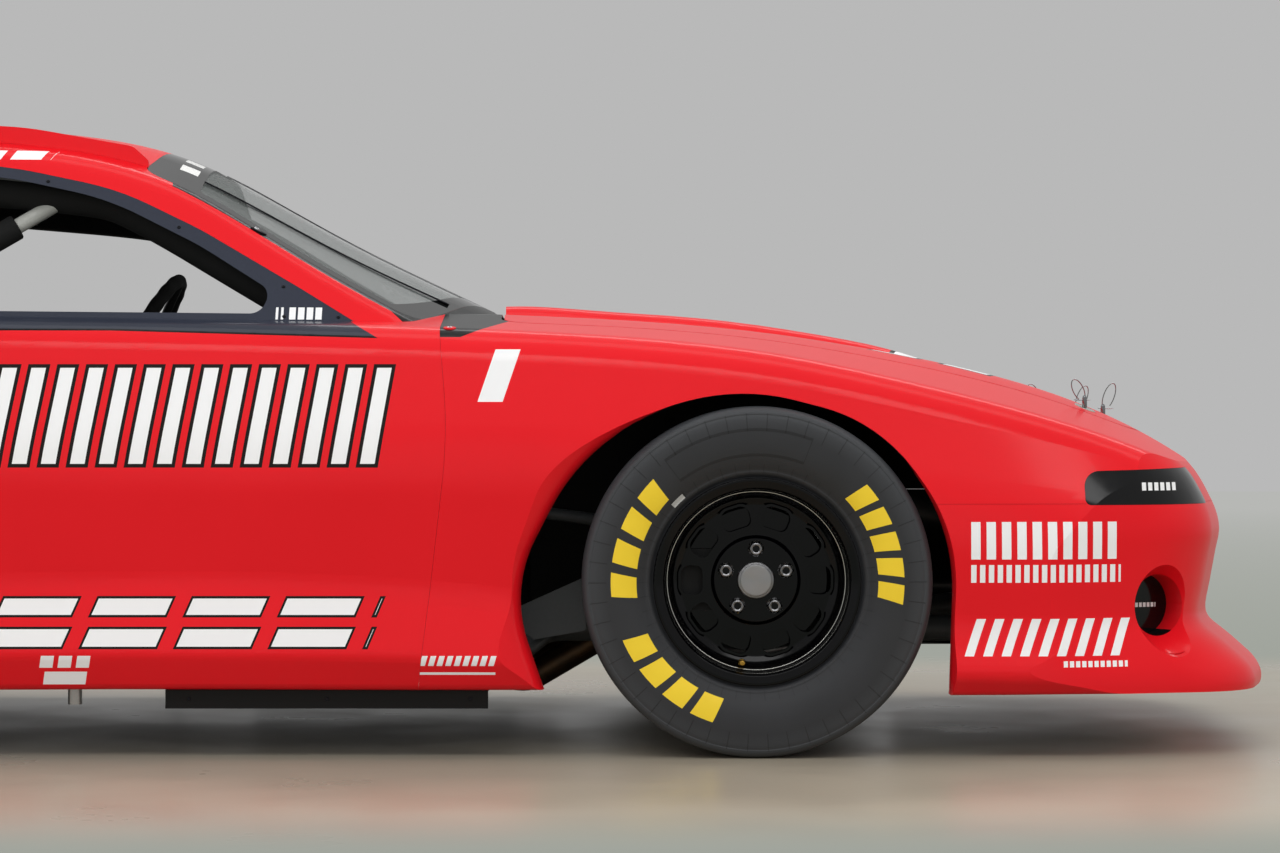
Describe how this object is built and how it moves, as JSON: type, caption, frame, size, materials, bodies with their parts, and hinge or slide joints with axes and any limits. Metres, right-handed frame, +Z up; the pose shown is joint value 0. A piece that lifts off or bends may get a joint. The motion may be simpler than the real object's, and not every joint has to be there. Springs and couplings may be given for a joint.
{
  "type": "stock car",
  "caption": "Closed-wheel oval-track stock car: thin moulded coupe body over a tube frame and roll cage, slick tyres, steering front wheels, hinged hood and deck lid.",
  "frame": {"origin": "on the floor, at the centre of the overall box", "axes": "+X forwards, +Y to the driver's left, +Z up"},
  "size_m": [4.8506, 1.8948, 1.3128],
  "materials": {
    "red_paint": "gloss",
    "glass": "gloss",
    "black_cover": "gloss",
    "black_plastic": "matte",
    "surround_blue_grey": "satin",
    "frame_grey": "satin",
    "cage_grey": "satin",
    "sheet_grey": "satin",
    "foam_black": "matte",
    "cast_iron": "matte",
    "steel": "satin",
    "bare_aluminium": "satin",
    "tyre_rubber": "matte",
    "wheel_black": "gloss",
    "seat_black": "matte"
  },
  "bodies": {
    "chassis": {"front_clip": "red_paint", "front_bumper": "red_paint", "intake_grille": "black_plastic", "greenhouse": "red_paint", "windshield": "glass", "rear_window": "glass", "quarter_windows": "glass", "lamp_covers": "black_cover", "rear_bumper": "red_paint", "window_frame_right": "surround_blue_grey", "window_frame_left": "surround_blue_grey", "door_panel_right": "red_paint", "door_panel_left": "red_paint", "quarter_panel_right": "red_paint", "quarter_panel_left": "red_paint", "roof_rails": "red_paint", "side_skirts": "black_plastic", "jack_posts": "bare_aluminium", "frame": "frame_grey", "roll_cage": "cage_grey", "cage_padding": "foam_black", "floor_pan": "sheet_grey", "seat": "seat_black", "dashboard": "sheet_grey", "engine_block": "cast_iron", "exhaust": "steel", "fuel_cell": "black_cover", "rear_axle": "cast_iron", "rear_suspension": "steel", "front_suspension": "steel"},
    "hood": {"hood": "red_paint"},
    "deck_lid": {"deck_lid": "red_paint", "spoiler": "black_cover"},
    "steering_wheel": {"steering_wheel": "black_plastic"},
    "steering_link": {"steering_link": "steel"},
    "knuckle_right": {"knuckle_right": "cast_iron"},
    "knuckle_left": {"knuckle_left": "cast_iron"},
    "wheel_front_right": {"wheel_front_right": "wheel_black", "tyre_front_right": "tyre_rubber"},
    "wheel_front_left": {"wheel_front_left": "wheel_black", "tyre_front_left": "tyre_rubber"},
    "wheel_rear_right": {"wheel_rear_right": "wheel_black", "tyre_rear_right": "tyre_rubber"},
    "wheel_rear_left": {"wheel_rear_left": "wheel_black", "tyre_rear_left": "tyre_rubber"}
  },
  "joints": [
    {"name": "steer_right", "type": "hinge", "parent": "chassis", "child": "knuckle_right", "pos_m": [1.3405, -0.682, 0.35], "axis": [0, 0, 1], "range_deg": [-20, 20]},
    {"name": "steer_left", "type": "hinge", "parent": "chassis", "child": "knuckle_left", "pos_m": [1.3405, 0.682, 0.35], "axis": [0, 0, 1], "range_deg": [-20, 20]},
    {"name": "link_slide", "type": "slide", "parent": "chassis", "child": "steering_link", "axis": [0, 1, 0], "range_m": [-0.0455, 0.0455]},
    {"name": "steering_wheel_turn", "type": "hinge", "parent": "chassis", "child": "steering_wheel", "pos_m": [-0.0505, 0.38, 0.85], "axis": [-0.8572, 0, 0.515], "range_deg": [-241, 241]},
    {"name": "hood_hinge", "type": "hinge", "parent": "chassis", "child": "hood", "pos_m": [0.7005, 0, 0.895], "axis": [0, -1, 0], "range_deg": [0, 55]},
    {"name": "deck_lid_hinge", "type": "hinge", "parent": "chassis", "child": "deck_lid", "pos_m": [-1.7645, 0, 0.95], "axis": [0, 1, 0], "range_deg": [0, 50]},
    {"name": "wheel_front_right_spin", "type": "hinge", "parent": "knuckle_right", "child": "wheel_front_right", "pos_m": [1.3405, -0.762, 0.35], "axis": [0, 1, 0], "continuous": true},
    {"name": "wheel_front_left_spin", "type": "hinge", "parent": "knuckle_left", "child": "wheel_front_left", "pos_m": [1.3405, 0.762, 0.35], "axis": [0, 1, 0], "continuous": true},
    {"name": "wheel_rear_right_spin", "type": "hinge", "parent": "chassis", "child": "wheel_rear_right", "pos_m": [-1.3265, -0.762, 0.35], "axis": [0, 1, 0], "continuous": true},
    {"name": "wheel_rear_left_spin", "type": "hinge", "parent": "chassis", "child": "wheel_rear_left", "pos_m": [-1.3265, 0.762, 0.35], "axis": [0, 1, 0], "continuous": true}
  ],
  "couplings": [
    {"joint": "steer_left", "follows": "steer_right", "ratio": 1},
    {"joint": "link_slide", "follows": "steer_right", "m_per_rad": 0.13},
    {"joint": "steering_wheel_turn", "follows": "steer_right", "ratio": 12}
  ]
}
